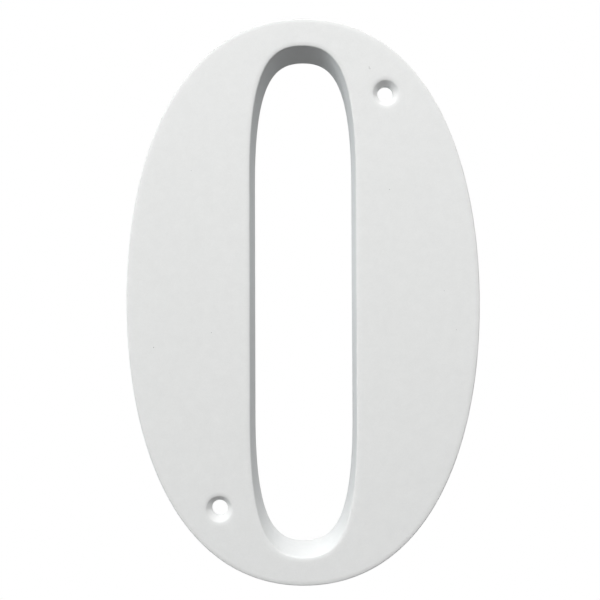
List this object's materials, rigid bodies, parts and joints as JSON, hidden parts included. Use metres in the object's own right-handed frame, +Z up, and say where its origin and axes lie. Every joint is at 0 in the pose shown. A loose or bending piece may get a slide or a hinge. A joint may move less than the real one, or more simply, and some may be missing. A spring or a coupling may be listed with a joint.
{
  "type": "house number",
  "caption": "Raised white numeral zero for marking a house, with rounded front edges, a hollow back and countersunk screw holes through its face.",
  "frame": {"origin": "centre of the numeral in the plane of its back rims, which is the wall it is screwed to", "axes": "+Z up along the numeral's height, +X to the right as it is read, +Y into the wall, so the face looks along -Y"},
  "size_m": [0.0952, 0.0127, 0.1524],
  "materials": {
    "numeral": "matte white with a very fine grain"
  },
  "bodies": {
    "root": {"numeral_zero": "numeral"}
  },
  "joints": []
}
